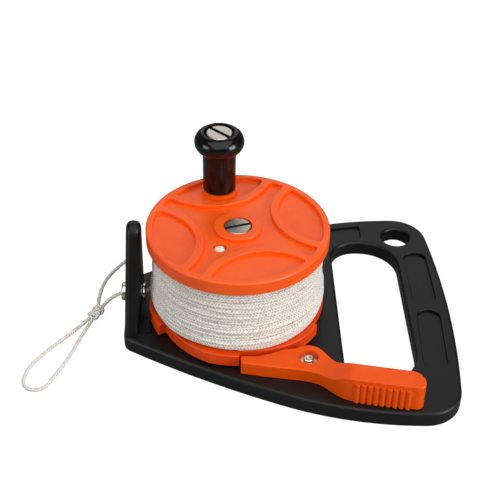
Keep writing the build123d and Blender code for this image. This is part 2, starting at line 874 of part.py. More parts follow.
with BuildPart() as lever_washer:
    with BuildSketch(Plane.XY.offset(post_top)):
        with Locations(pivot):
            Circle(lever_washer_radius)
            Circle(lever_screw_radius + seat_fit, mode=Mode.SUBTRACT)
    extrude(amount=lever_washer_thickness)
lever_washer.part.label = "lever_washer"

with BuildPart() as lever_screw:
    screw_seat = post_top + lever_washer_thickness
    with BuildSketch(Plane.XY.offset(screw_seat)):
        with Locations(pivot):
            Circle(lever_screw_head_radius)
    extrude(amount=lever_screw_head_height)
    fillet(lever_screw.edges().sort_by(Axis.Z)[-1], lever_screw_head_height / 2)
    with BuildSketch(Plane.XY.offset(post_top - lever_screw_length)):
        with Locations(pivot):
            Circle(lever_screw_radius)
    extrude(amount=lever_screw_length + lever_washer_thickness)
    with BuildSketch(Plane.XY.offset(screw_seat + lever_screw_head_height)):
        with Locations(pivot):
            Rectangle(cross_length, cross_width, rotation=cross_turn)
            Rectangle(cross_width, cross_length, rotation=cross_turn)
    extrude(amount=-cross_depth, mode=Mode.SUBTRACT)
lever_screw.part.label = "lever_screw"

# Return spring round the post, in the lever's pocket
spring_start_z = frame_top + seat_gap + spring_wire_diameter / 2
spring_points, spring_tangents = helix_points(
    lambda share: spring_mean_radius,
    lambda share: spring_start_z + share * spring_turns * spring_pitch,
    spring_turns,
)
spring_path = biarc_path(spring_points, spring_tangents, spring_leg_length)
lever_spring = Pos(*pivot) * tube(spring_path, spring_wire_diameter / 2)
lever_spring.label = "lever_spring"
print("least gap between spring turns", round(spring_pitch - spring_wire_diameter, 3))


# Free line: through the eyelet to a knot, with a loop to pull it by and a cut tail

lead_route = [
    (-45.85, 3.45, 18.7),
    (-47.5, 0.1, 18.4),
    (-60.3, 0.0, 18.75),
    (-65.8, 0.9, 14.6),
    (-69.9, 2.1, 9.8),
    (-72.0, 3.5, 5.8),
]
loop_route = [
    (-78.7, -1.0, 1.6),
    (-86.0, -11.2, 0.95),
    (-96.4, -23.6, 0.95),
    (-104.2, -34.6, 0.95),
    (-107.3, -43.5, 0.95),
    (-107.4, -50.6, 0.95),
    (-103.8, -54.5, 0.95),
    (-98.5, -54.7, 0.95),
    (-94.6, -51.1, 0.95),
    (-92.3, -44.6, 0.95),
    (-88.0, -35.5, 0.95),
    (-84.4, -24.5, 0.95),
    (-81.3, -12.9, 0.95),
    (-77.35, -2.7, 1.6),
]
tail_route = [
    (-75.15, 5.6, 1.6),
    (-75.55, 13.9, 0.95),
    (-75.0, 22.6, 0.95),
    (-73.3, 30.9, 0.95),
    (-69.8, 38.7, 0.95),
    (-65.2, 46.0, 0.95),
    (-60.2, 52.6, 0.95),
    (-56.4, 58.9, 0.95),
]
line_lead = tube(cord_path(lead_route), line_radius)
line_lead.label = "line_lead"
line_loop = tube(cord_path(loop_route), line_radius)
line_loop.label = "line_loop"
line_tail = tube(cord_path(tail_route), line_radius)
line_tail.label = "line_tail"
for name, piece in (("lead", line_lead), ("loop", line_loop), ("tail", line_tail)):
    print(name, "length from volume", round(piece.volume / (math.pi * line_radius**2), 1))

# The knot's wraps, round an axis that lies along the line
knot_points, knot_tangents = helix_points(
    lambda share: knot_wrap_radius,
    lambda share: (share - 1 / 2) * knot_wraps * knot_pitch,
    knot_wraps,
)
knot_plane = Plane(
    origin=(knot_x, knot_y, knot_wrap_radius + line_radius + knot_lift_height),
    z_dir=(math.cos(math.radians(knot_bearing)), math.sin(math.radians(knot_bearing)), 0),
)
line_knot = knot_plane.location * tube(biarc_path(knot_points, knot_tangents, line_radius), line_radius)
line_knot.label = "line_knot"
print("least gap between knot wraps", round(knot_pitch - line_diameter, 3))


# One STEP file for each piece

pieces = [
    frame.part,
    guide_eyelet.part,
    guide_eyelet_ring.part,
    axle_screw.part,
    axle_washer.part,
    thrust_washer.part,
    axle_nut.part,
    spool_drum.part,
    spool_flange.part,
    line_anchor.part,
    line_core.part,
    line_turns,
    knob_part,
    knob_screw,
    knob_insert.part,
    lock_lever.part,
    lever_washer.part,
    lever_screw.part,
    lever_spring,
    line_lead,
    line_knot,
    line_loop,
    line_tail,
]
os.makedirs("parts", exist_ok=True)
for piece in pieces:
    export_step(piece, f"parts/{piece.label}.step")
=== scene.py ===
import logging
import math
from dataclasses import dataclass, replace
from enum import Enum

import bpy
import numpy as np
from mathutils import Matrix, Vector


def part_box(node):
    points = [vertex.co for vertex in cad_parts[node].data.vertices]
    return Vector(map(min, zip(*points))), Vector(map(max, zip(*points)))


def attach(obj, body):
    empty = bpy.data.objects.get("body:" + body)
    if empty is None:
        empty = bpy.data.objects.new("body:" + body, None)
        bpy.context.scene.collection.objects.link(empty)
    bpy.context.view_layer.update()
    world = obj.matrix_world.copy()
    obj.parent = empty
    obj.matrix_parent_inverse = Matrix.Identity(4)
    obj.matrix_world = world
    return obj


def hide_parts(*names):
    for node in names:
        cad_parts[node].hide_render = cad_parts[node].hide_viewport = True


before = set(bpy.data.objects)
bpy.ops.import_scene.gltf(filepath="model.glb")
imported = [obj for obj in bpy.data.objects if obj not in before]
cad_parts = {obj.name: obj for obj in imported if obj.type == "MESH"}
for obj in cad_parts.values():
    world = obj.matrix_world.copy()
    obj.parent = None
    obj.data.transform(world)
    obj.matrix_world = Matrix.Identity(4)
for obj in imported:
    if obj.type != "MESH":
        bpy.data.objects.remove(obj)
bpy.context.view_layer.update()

# A dive reel on a white table: black frame, orange ratchet spool and lock lever, white braided line
# Lengths are in metres, in the construction model's frame, whose origin is on the spool's axis

MM = 0.001
LINE_DIAMETER = 1.8 * MM
LINE_RADIUS = LINE_DIAMETER / 2
LINE_CIRCUMFERENCE = math.pi * LINE_DIAMETER
STRANDS_EACH_WAY = 3
STRAND_PITCH = 1.6 * MM
# Height in the braid's relief that lies on the line's own radius
MEAN_CREST = 0.45
# Share of its radius that the line keeps at the very tip of a rounded end
BLUNT_TIP = 0.01
# Nearly all values of a noise texture lie between these
NOISE_LOW = 0.3
NOISE_HIGH = 0.7

# A shader node's input or output
Socket = bpy.types.NodeSocket

log = logging.getLogger("dive_reel")


class Hue(Enum):
    """Colours as sRGB hex values, read from the object and settled against test renders."""

    SIGNAL_ORANGE = "#F65D07"
    ORANGE_DEPTH = "#F05305"
    # The drum's orange, darkened as painted shade from under the flange
    DRUM_SHADED_ORANGE = "#E64A04"
    DRUM_SHADED_DEPTH = "#DE4203"
    LEVER_ORANGE = "#E85406"
    LEVER_DEPTH = "#E24D04"
    FRAME_BLACK = "#070708"
    FRAME_RUBBED = "#0E0E0F"
    KNOB_BLACK = "#070707"
    NYLON_NATURAL = "#E6E3D8"
    NICKEL = "#E6E0D8"
    STEEL = "#D2CAC0"
    STEEL_SHADE = "#8E8880"
    STEEL_WORN = "#A8A299"
    # Painted shade for screws' driver slots
    SLOT_SHADE_DARK = "#16130F"
    SLOT_SHADE_BROWN = "#7A6A52"
    BRASS = "#C9A227"
    LINE_WHITE = "#EFEAE2"
    # Painted shade in the braid's creases
    LINE_CREASE_SHADE = "#8C8274"
    BEAD_AMBER = "#F2DCC8"
    TABLE_WHITE = "#8A8A8A"


class Turning(Enum):
    """Which way a pattern of lathe or brush marks is laid."""

    FACE_RINGS = "RINGS"
    STRAIGHT_BANDS = "BANDS"


def linear(hue: Hue) -> tuple[float, float, float, float]:
    """Turn an sRGB hex colour to the linear values that a shader takes.

    Args:
        hue: One of the named colours.

    Returns:
        Red, green, blue and an alpha of one.
    """
    code = hue.value.lstrip("#")
    parts = [int(code[start : start + 2], 16) / 255 for start in (0, 2, 4)]
    curve = [part / 12.92 if part <= 0.04045 else ((part + 0.055) / 1.055) ** 2.4 for part in parts]
    return (curve[0], curve[1], curve[2], 1.0)


class Surface:
    """A new material, with a call for each kind of node that its finish needs."""

    def __init__(self, name: str) -> None:
        """Start the material with nothing but its output.

        Args:
            name: The material's name.
        """
        self.material = bpy.data.materials.new(name)
        self.material.use_nodes = True
        self.tree = self.material.node_tree
        self.tree.nodes.clear()
        self.output = self.add("OutputMaterial")

    def add(
        self, kind: str, settings: dict | None = None, inputs: dict | None = None
    ) -> bpy.types.Node:
        """Add a shader node, set its properties and fill its inputs.

        Args:
            kind: The node's type, without its ShaderNode prefix.
            settings: Property values by attribute name.
            inputs: What goes to each input, by its name or number. A socket is linked, a named
                colour is made linear, and anything else is set.

        Returns:
            The new node.
        """
        node = self.tree.nodes.new("ShaderNode" + kind)
        for name, value in (settings or {}).items():
            setattr(node, name, value)
        for key, value in (inputs or {}).items():
            socket = node.inputs[key]
            if isinstance(value, Socket):
                self.tree.links.new(value, socket)
            else:
                socket.default_value = linear(value) if isinstance(value, Hue) else value
        return node

    def math(self, operation: str, *values: Socket | float) -> Socket:
        """Do one step of arithmetic on a Math node's inputs, taken in order."""
        return self.add("Math", {"operation": operation}, dict(enumerate(values))).outputs[0]

    def noise(self, place: Socket, patch: float, detail: float, roughness: float = 0.5) -> Socket:
        """Add a noise texture.

        Args:
            place: Coordinates.
            patch: Rough size of the largest patches.
            detail: How many finer octaves are added.
            roughness: How strong the finer octaves are.

        Returns:
            The noise.
        """
        inputs = {"Vector": place, "Scale": 1 / patch, "Detail": detail, "Roughness": roughness}
        return self.add("TexNoise", inputs=inputs).outputs["Fac"]

    def ranged(
        self, value: Socket, low: float, high: float, to_low: float = 0.0, to_high: float = 1.0
    ) -> Socket:
        """Map one range of a value onto another and hold it at both ends.

        Args:
            value: The value.
            low: Where the range starts.
            high: Where the range ends.
            to_low: Result at the start.
            to_high: Result at the end.

        Returns:
            The result.
        """
        inputs = {"Value": value, "From Min": low, "From Max": high}
        inputs |= {"To Min": to_low, "To Max": to_high}
        return self.add("MapRange", inputs=inputs).outputs["Result"]

    def mix_colours(self, share: Socket, first: Socket | Hue, second: Socket | Hue) -> Socket:
        """Mix two colours, at a Mix node's inputs 6 and 7 and its output 2.

        Args:
            share: The second colour's share.
            first: The first colour.
            second: The second colour.

        Returns:
            The mixed colour.
        """
        inputs = {0: share, 6: first, 7: second}
        return self.add("Mix", {"data_type": "RGBA"}, inputs).outputs[2]

    def mix_numbers(self, share: Socket, first: Socket | float, second: Socket | float) -> Socket:
        """Mix two numbers, at a Mix node's inputs 2 and 3 and its output 0.

        Args:
            share: The second number's share.
            first: The first number.
            second: The second number.

        Returns:
            The mixed number.
        """
        inputs = {0: share, 2: first, 3: second}
        return self.add("Mix", {"data_type": "FLOAT"}, inputs).outputs[0]

    def relief(self, height: Socket, depth: float, strength: float) -> Socket:
        """Turn a height pattern to a small relief.

        Args:
            height: The pattern, from 0 to about 1.
            depth: The relief's real depth.
            strength: How much of it shows.

        Returns:
            The normal.
        """
        inputs = {"Height": height, "Distance": depth, "Strength": strength}
        return self.add("Bump", inputs=inputs).outputs["Normal"]

    def close(self, shader: Socket) -> bpy.types.Material:
        """Link the last shader to the output and hand the material over."""
        self.tree.links.new(shader, self.output.inputs["Surface"])
        return self.material

    def finish(self, inputs: dict) -> bpy.types.Material:
        """Close the material with a Principled shader, whose inputs are filled by name."""
        return self.close(self.add("BsdfPrincipled", inputs=inputs).outputs["BSDF"])


@dataclass(frozen=True)
class MouldedPlastic:
    """An injection moulded plastic, with the fine grain of its spark-eroded mould.

    The grain breaks up the highlight, and slow flow marks from the gate shift colour and gloss a
    little.
    """

    name: str
    colour: Hue
    roughness: float
    grain: float
    grain_depth: float
    second_colour: Hue | None = None
    ior: float = 1.53
    subsurface: float = 0.0
    subsurface_reach: float = 1.2 * MM
    grain_strength: float = 0.6
    flow_mark: float = 22 * MM
    flow_start: float = 0.35
    gloss_gain: float = 0.04
    gloss_loss: float = 0.05

    def material(self) -> bpy.types.Material:
        """Build the plastic's nodes.

        Returns:
            The material.
        """
        surface = Surface(self.name)
        place = surface.add("TexCoord").outputs["Object"]
        flow = surface.noise(place, self.flow_mark, detail=4.0, roughness=0.6)
        grain = surface.noise(place, self.grain, detail=3.0, roughness=0.55)
        colour = self.colour
        if self.second_colour is not None:
            share = surface.ranged(flow, self.flow_start, NOISE_HIGH)
            colour = surface.mix_colours(share, self.colour, self.second_colour)
        glossiest = self.roughness - self.gloss_gain
        dullest = self.roughness + self.gloss_loss
        return surface.finish(
            {
                "Base Color": colour,
                "Roughness": surface.ranged(flow, NOISE_LOW, NOISE_HIGH, glossiest, dullest),
                "Normal": surface.relief(grain, self.grain_depth, self.grain_strength),
                "IOR": self.ior,
                "Subsurface Weight": self.subsurface,
                "Subsurface Scale": self.subsurface_reach,
                "Subsurface Radius": (1.0, 0.35, 0.15),
            }
        )


@dataclass(frozen=True)
class DriverSlot:
    """The slot in a screw's head, with painted shade in it, so it reads as deep.

    It is all that lies under the head's top, above the slot's floor and inside the head's side.
    """

    head_top: float
    head_radius: float = 6.4 * MM
    skin: float = 0.05 * MM
    depth: float = 2.0 * MM
    roughness: float = 0.6

    def mask(self, surface: Surface, place: Socket, centred: Socket) -> Socket:
        """Find the slot in a material.

        Args:
            surface: The material.
            place: The screw's Object coordinates.
            centred: The same, from the screw's axis.

        Returns:
            One in the slot and zero elsewhere.
        """
        height = surface.add("SeparateXYZ", inputs={"Vector": place}).outputs["Z"]
        level = {0: centred, 1: (1.0, 1.0, 0.0)}
        flat = surface.add("VectorMath", {"operation": "MULTIPLY"}, level).outputs["Vector"]
        reach = surface.add("VectorMath", {"operation": "LENGTH"}, {0: flat}).outputs["Value"]
        inside = surface.math("LESS_THAN", reach, self.head_radius)
        under = surface.math("LESS_THAN", height, self.head_top - self.skin)
        above = surface.math("GREATER_THAN", height, self.head_top - self.depth)
        return surface.math("MULTIPLY", surface.math("MULTIPLY", inside, under), above)


@dataclass(frozen=True)
class TurnedMetal:
    """A bare or plated metal, with the marks that a lathe or a brush leaves on it.

    Where it has tarnished it is a little duller, and a screw's driver slot has painted shade.
    """

    name: str
    colour: Hue
    roughness: float
    mark_pitch: float
    mark_depth: float
    second_colour: Hue | None = None
    turning: Turning = Turning.FACE_RINGS
    centre: tuple[float, float, float] = (0.0, 0.0, 0.0)
    slot: DriverSlot | None = None
    mark_strength: float = 0.5
    tarnish_patch: float = 2.4 * MM
    gloss_gain: float = 0.06
    gloss_loss: float = 0.08

    def material(self) -> bpy.types.Material:
        """Build the metal's nodes.

        Returns:
            The material.
        """
        surface = Surface(self.name)
        place = surface.add("TexCoord").outputs["Object"]
        back = tuple(-value for value in self.centre)
        moved = {"Vector": place, "Location": back}
        centred = surface.add("Mapping", inputs=moved).outputs["Vector"]
        # A wave texture's rings repeat each 2 pi over 20 times its scale
        marks = surface.add(
            "TexWave",
            {
                "wave_type": self.turning.value,
                "rings_direction": "Z",
                "bands_direction": "X",
                "wave_profile": "SIN",
            },
            {
                "Vector": centred,
                "Scale": math.tau / (20 * self.mark_pitch),
                "Distortion": 1.4,
                "Detail": 2.0,
                "Detail Scale": 2.0,
            },
        ).outputs["Fac"]
        tarnish = surface.noise(centred, self.tarnish_patch, detail=5.0, roughness=0.65)
        colour = self.colour
        if self.second_colour is not None:
            colour = surface.mix_colours(tarnish, self.colour, self.second_colour)
        glossiest = self.roughness - self.gloss_gain
        dullest = self.roughness + self.gloss_loss
        gloss = surface.ranged(tarnish, NOISE_LOW, NOISE_HIGH, glossiest, dullest)
        if self.slot is not None:
            share = self.slot.mask(surface, place, centred)
            # Painted shade in the driver slot, mottled dark and brown
            painted_slot_shade = surface.mix_colours(tarnish, Hue.SLOT_SHADE_DARK, Hue.SLOT_SHADE_BROWN)
            colour = surface.mix_colours(share, colour, painted_slot_shade)
            gloss = surface.mix_numbers(share, gloss, self.slot.roughness)
        return surface.finish(
            {
                "Base Color": colour,
                "Metallic": 1.0,
                "Roughness": gloss,
                "Normal": surface.relief(marks, self.mark_depth, self.mark_strength),
            }
        )


@dataclass(frozen=True)
class BraidedLine:
    """A hard round braid of polyester yarns, whose two sets of strands cross over and under.

    It reads the piece's own UV map, whose u goes once round the line and whose v counts line
    circumferences along it. Creases between strands have painted shade and the yarns a soft sheen.
    """

    name: str
    relief: float = 0.16 * MM
    fibre: float = 0.35 * MM
    fibre_share: float = 0.35
    speckle: float = 1.3 * MM
    speckle_share: float = 1.1
    darkest_height: float = 0.5
    lightest_height: float = 1.12

    def strand_height(self, surface: Surface, place: Socket) -> Socket:
        """Repeat the braid's height as nodes.

        Strand numbers are a = 3 u + v and b = 3 u - v, with v in strand pitches. A strand is
        highest at its middle and falls evenly to its edges, and a checker pattern of a and b says
        whose strand is on top.

        Args:
            surface: The material.
            place: The UV map's coordinates.

        Returns:
            The height, from 0 at a strand's edge to 0.5 at its middle.
        """
        split = surface.add("SeparateXYZ", inputs={"Vector": place})
        around = surface.math("MULTIPLY", split.outputs["X"], float(STRANDS_EACH_WAY))
        pitches = LINE_CIRCUMFERENCE / STRAND_PITCH
        along = surface.math("MULTIPLY", split.outputs["Y"], pitches)
        first = surface.math("ADD", around, along)
        second = surface.math("SUBTRACT", around, along)
        cell = surface.add("CombineXYZ", inputs={"X": first, "Y": second, "Z": 0.5})
        lattice = {"Vector": cell.outputs["Vector"], "Scale": 1.0}
        over = surface.add("TexChecker", inputs=lattice).outputs["Fac"]
        crests = [surface.math("PINGPONG", strand, 0.5) for strand in (first, second)]
        return surface.mix_numbers(over, crests[0], crests[1])

    def material(self) -> bpy.types.Material:
        """Build the braid's nodes.

        Returns:
            The material.
        """
        surface = Surface(self.name)
        coordinates = surface.add("TexCoord")
        place = coordinates.outputs["Object"]
        height = self.strand_height(surface, coordinates.outputs["UV"])
        fibres = surface.noise(place, self.fibre, detail=4.0, roughness=0.7)
        speckle = surface.noise(place, self.speckle, detail=3.0, roughness=0.75)
        # The braid's creases get painted shade from its height, over the fibres' and speckles' own
        # random tone
        fibres_and_crease_shade = surface.math("MULTIPLY_ADD", fibres, self.fibre_share, height)
        uneven = surface.math("MULTIPLY_ADD", speckle, self.speckle_share, fibres_and_crease_shade)
        shade = surface.ranged(uneven, self.darkest_height, self.lightest_height)
        return surface.finish(
            {
                "Base Color": surface.mix_colours(shade, Hue.LINE_CREASE_SHADE, Hue.LINE_WHITE),
                "Roughness": 0.72,
                "Normal": surface.relief(uneven, self.relief, 1.0),
                "IOR": 1.5,
                "Sheen Weight": 0.25,
                "Sheen Roughness": 0.5,
            }
        )


@dataclass(frozen=True)
class MeltedPolyester:
    """A line's end melted to a bead, which lets light through and is smooth and a little amber."""

    name: str
    cloud: float = 1.1 * MM
    relief: float = 0.25 * MM
    relief_strength: float = 0.8

    def material(self) -> bpy.types.Material:
        """Build the bead's nodes.

        Returns:
            The material.
        """
        surface = Surface(self.name)
        place = surface.add("TexCoord").outputs["Object"]
        cloud = surface.noise(place, self.cloud, detail=4.0)
        return surface.finish(
            {
                "Base Color": surface.mix_colours(cloud, Hue.LINE_WHITE, Hue.BEAD_AMBER),
                "Roughness": 0.28,
                "Normal": surface.relief(cloud, self.relief, self.relief_strength),
                "Subsurface Weight": 0.6,
                "Subsurface Scale": 1.5 * MM,
            }
        )


def mesh_piece(
    name: str, points: np.ndarray, faces: list[list[int]], corner_uv: np.ndarray | None = None
) -> bpy.types.Object:
    """Put a surface into a new, smooth shaded mesh object.

    Args:
        name: The object's and the mesh's name.
        points: One row of x, y and z for each vertex.
        faces: The vertex numbers of each face.
        corner_uv: One row of u and v for each corner of each face, in the faces' order.

    Returns:
        The object, linked to the scene.
    """
    mesh = bpy.data.meshes.new(name)
    mesh.from_pydata(points.tolist(), [], faces)
    if corner_uv is not None:
        layer = mesh.uv_layers.new(name="line")
        layer.data.foreach_set("uv", corner_uv.astype(np.float32).ravel())
    mesh.polygons.foreach_set("use_smooth", np.ones(len(mesh.polygons), bool))
    mesh.update()
    piece = bpy.data.objects.new(name, mesh)
    bpy.context.scene.collection.objects.link(piece)
    return piece


def closed_skin(
    name: str, rings: np.ndarray, poles: np.ndarray | None, wall_uv: np.ndarray | None = None
) -> bpy.types.Object:
    """Join rings of points into one closed skin.

    Quads run from each ring to the next. Each end ring then closes on its pole with a fan of
    triangles, and where there are no poles the last ring joins the first.

    Args:
        name: The piece's name.
        rings: Points by ring and by place round it, anticlockwise about the way the rings run.
        poles: The points that close the first and the last ring, or None where the skin meets
            itself.
        wall_uv: One row of u and v for each corner of each quad.

    Returns:
        The piece.
    """
    count, sides = rings.shape[:2]
    index = np.arange(count if poles is None else count - 1)[:, None]
    row, next_row = index * sides, (index + 1) % count * sides
    column = np.arange(sides)[None, :]
    following = (column + 1) % sides
    walls = [row + column, row + following, next_row + following, next_row + column]
    faces = np.stack(walls, -1).reshape(-1, 4).tolist()
    points = rings.reshape(-1, 3)
    if poles is not None:
        here, there = column[0], following[0]
        last = (count - 1) * sides
        first_pole = np.full(sides, len(points))
        faces += np.stack([there, here, first_pole], -1).tolist()
        faces += np.stack([last + here, last + there, first_pole + 1], -1).tolist()
        points = np.concatenate([points, poles])
        if wall_uv is not None:
            cap_corners = 2 * 3 * sides
            wall_uv = np.concatenate([wall_uv, np.zeros((cap_corners, 2))])
    return mesh_piece(name, points, faces, wall_uv)


def braid_height(around: np.ndarray, along: np.ndarray) -> np.ndarray:
    """Height of a two-way braid, from 0 in a crease to 1 on a strand's crest.

    Strand numbers are a = 3 u + v and b = 3 u - v. Where floor(a) + floor(b) is even the strand
    of a is on top, and elsewhere the strand of b, and each is a half sine across its width.

    Args:
        around: Turns round the line, from 0 to 1.
        along: Strand pitches along the line.

    Returns:
        The height at each place.
    """
    first = STRANDS_EACH_WAY * around + along
    second = STRANDS_EACH_WAY * around - along
    over = (np.floor(first) + np.floor(second)) % 2 == 0
    return np.where(over, np.sin(np.pi * (first % 1)), np.sin(np.pi * (second % 1)))


def directions(path: np.ndarray, looped: bool) -> np.ndarray:
    """Unit vectors along a path, from the points before and after each.

    Args:
        path: The path's points.
        looped: Whether the last point leads back to the first.

    Returns:
        One vector for each point.
    """
    if looped:
        forward = np.roll(path, -1, axis=0) - np.roll(path, 1, axis=0)
    else:
        forward = np.gradient(path, axis=0)
    return forward / np.linalg.norm(forward, axis=1, keepdims=True)


def travelled(path: np.ndarray) -> np.ndarray:
    """The length of a path up to each of its points."""
    return np.concatenate([[0.0], np.cumsum(np.linalg.norm(np.diff(path, axis=0), axis=1))])


def line_tube(
    name: str,
    path: np.ndarray,
    outward: np.ndarray,
    sides: int,
    relief: float,
    rounded: float = 0.0,
    looped: bool = False,
) -> bpy.types.Object:
    """Carry a round section along a path as one closed skin.

    A point is path + r (n cos w + b sin w), where n is the outward direction made square to the
    path, b is square to both, w goes round in equal steps, and r swings about the line's radius
    with the braid's height. With rounded ends, r falls as a quarter circle over the rounded length.

    Args:
        name: The piece's name.
        path: The centreline's points, evenly spaced.
        outward: A direction at each point that isn't along the path.
        sides: Points round the section.
        relief: Depth of the braid's creases.
        rounded: Length over which each end rounds off.
        looped: Whether the last point leads back to the first.

    Returns:
        The piece.
    """
    forward = directions(path, looped)
    normal = outward - np.sum(outward * forward, axis=1, keepdims=True) * forward
    normal /= np.linalg.norm(normal, axis=1, keepdims=True)
    across = np.cross(forward, normal)
    distance = travelled(np.concatenate([path, path[:1]]) if looped else path)
    place = distance[: len(path)]
    angle = np.arange(sides) / sides * math.tau
    height = braid_height(angle[None, :] / math.tau, place[:, None] / STRAND_PITCH)
    radius = LINE_RADIUS + relief * (height - MEAN_CREST)
    if rounded:
        inward = np.clip(np.minimum(place, place[-1] - place) / rounded, 0, 1)
        fall = np.maximum(np.sqrt(1 - (1 - inward) ** 2), BLUNT_TIP)
        radius = radius * fall[:, None]
    rings = (
        path[:, None, :]
        + normal[:, None, :] * (radius * np.cos(angle))[:, :, None]
        + across[:, None, :] * (radius * np.sin(angle))[:, :, None]
    )
    u_low = np.broadcast_to(np.arange(sides) / sides, (len(distance) - 1, sides))
    u_high = u_low + 1 / sides
    v_low, v_high = (
        np.broadcast_to((edge / LINE_CIRCUMFERENCE)[:, None], u_low.shape)
        for edge in (distance[:-1], distance[1:])
    )
    corners = ((u_low, v_low), (u_high, v_low), (u_high, v_high), (u_low, v_high))
    wall_uv = np.stack([np.stack(corner, -1) for corner in corners], 2).reshape(-1, 2)
    return closed_skin(name, rings, None if looped else path[[0, -1]], wall_uv)


def dress_node(name: str, material: bpy.types.Material) -> None:
    """Give a construction node its finish.

    Args:
        name: The node's name.
        material: Its finish.
    """
    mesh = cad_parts[name].data
    mesh.materials.clear()
    mesh.materials.append(material)
    log.info("dressed %s in %s", name, material.name)


@dataclass(frozen=True)
class SoftBox:
    """A square light, with its power in watts, that faces the spool."""

    name: str
    place: tuple[float, float, float]
    size: float
    power: float
    aim_height: float = 40 * MM

    def hang(self) -> None:
        """Hang the light at its place."""
        lamp = bpy.data.lights.new(self.name, "AREA")
        lamp.shape = "SQUARE"
        lamp.size = self.size
        lamp.energy = self.power
        holder = bpy.data.objects.new(self.name, lamp)
        holder.location = self.place
        aim = Vector((0, 0, self.aim_height)) - Vector(self.place)
        holder.rotation_euler = aim.to_track_quat("-Z", "Y").to_euler()
        bpy.context.scene.collection.objects.link(holder)


@dataclass
class Studio:
    """The camera that stood over the reel, a soft tent of light and the white table."""

    azimuth: float = -1.83
    elevation: float = 37.70
    roll: float = 1.22
    distance: float = 550.5 * MM
    target: tuple[float, float, float] = (6.29 * MM, -0.88 * MM, 47.47 * MM)
    focal_length: float = 77.46
    sensor_width: float = 36.0
    table_size: float = 6.0
    table_drop: float = 0.02 * MM
    table_glow: float = 0.9
    room_light: float = 0.1
    soft_boxes: tuple[SoftBox, ...] = (
        SoftBox("top_box", (0.1, -0.5, 1.15), 1.8, 15.8),
        SoftBox("back_box", (0.0, 1.4, 1.05), 1.5, 5.0),
        SoftBox("left_box", (-1.1, -0.5, 0.4), 0.6, 4.8),
        SoftBox("right_box", (1.05, -0.55, 0.4), 0.6, 11.0),
    )

    def make_camera(self) -> None:
        """Stand the camera where the photograph was taken from."""
        angles = (self.azimuth, self.elevation, self.roll)
        turn, lift, tilt = (math.radians(value) for value in angles)
        back = Vector(
            (math.sin(turn) * math.cos(lift), -math.cos(turn) * math.cos(lift), math.sin(lift))
        )
        level_right = Vector((math.cos(turn), math.sin(turn), 0))
        level_up = back.cross(level_right)
        right = level_right * math.cos(tilt) + level_up * math.sin(tilt)
        up = level_up * math.cos(tilt) - level_right * math.sin(tilt)
        lens = bpy.data.cameras.new("camera")
        lens.lens = self.focal_length
        lens.sensor_width = self.sensor_width
        camera = bpy.data.objects.new("camera", lens)
        stand = Matrix.Translation(Vector(self.target) + back * self.distance)
        camera.matrix_world = stand @ Matrix((right, up, back)).transposed().to_4x4()
        bpy.context.scene.collection.objects.link(camera)
        bpy.context.scene.camera = camera

    def table_material(self) -> bpy.types.Material:
        """Make the white table's surface.

        It shines for the camera alone, so it is burnt out without lighting the reel from below.
        From below it is clear, so the underside can be looked at.

        Returns:
            The material.
        """
        surface = Surface("white_table")
        seen = surface.add("LightPath").outputs["Is Camera Ray"]
        shader = surface.add(
            "BsdfPrincipled",
            inputs={
                "Base Color": Hue.TABLE_WHITE,
                "Roughness": 0.9,
                "IOR": 1.2,
                "Emission Color": (1, 1, 1, 1),
                "Emission Strength": surface.math("MULTIPLY", seen, self.table_glow),
            },
        )
        below = surface.add("NewGeometry").outputs["Backfacing"]
        clear = surface.add("BsdfTransparent")
        faces = {0: below, 1: shader.outputs["BSDF"], 2: clear.outputs["BSDF"]}
        either = surface.add("MixShader", inputs=faces)
        return surface.close(either.outputs["Shader"])

    def make_surroundings(self) -> None:
        """Lay the white table and fill the room with even light."""
        half = self.table_size / 2
        low = -self.table_drop
        corners = np.array(
            [(-half, -half, low), (half, -half, low), (half, half, low), (-half, half, low)]
        )
        table = mesh_piece("table", corners, [[0, 1, 2, 3]])
        table.data.materials.append(self.table_material())
        world = bpy.data.worlds.new("room")
        world.use_nodes = True
        background = world.node_tree.nodes["Background"]
        background.inputs["Color"].default_value = (1, 1, 1, 1)
        background.inputs["Strength"].default_value = self.room_light
        bpy.context.scene.world = world
        view = bpy.context.scene.view_settings
        view.view_transform = "Standard"
        view.look = "None"

    def build(self) -> None:
        """Set the whole studio up."""
        self.make_camera()
        for box in self.soft_boxes:
            box.hang()
        self.make_surroundings()
        log.info("studio is up")


